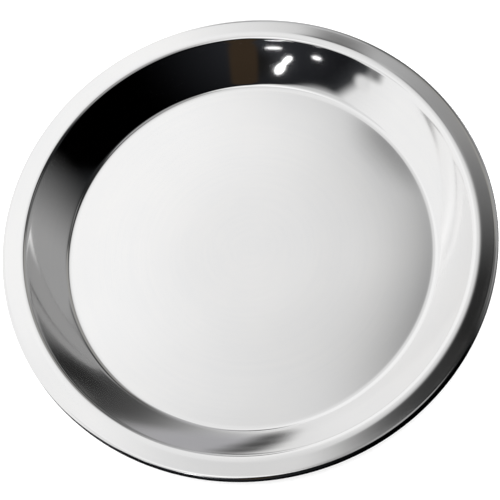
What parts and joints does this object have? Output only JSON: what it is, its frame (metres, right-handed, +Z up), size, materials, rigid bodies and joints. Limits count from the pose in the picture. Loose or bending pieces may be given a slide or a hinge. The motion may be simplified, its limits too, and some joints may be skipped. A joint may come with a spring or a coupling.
{
  "type": "pie pan",
  "caption": "Round shallow stainless steel pie pan with a slightly raised floor on a level foot ring, sloping side, gently falling rim and hollow curled edge.",
  "frame": {"origin": "middle of the pan, in the plane of the surface that it stands on", "axes": "+Z up along the pan's axis of revolution; +X and +Y lie in the plane of the floor and are alike, because the pan is round"},
  "size_m": [0.248, 0.248, 0.0205],
  "materials": {
    "stainless": "bright polished stainless sheet with faint circular spin marks"
  },
  "bodies": {
    "root": {"pan": "stainless"}
  },
  "joints": []
}
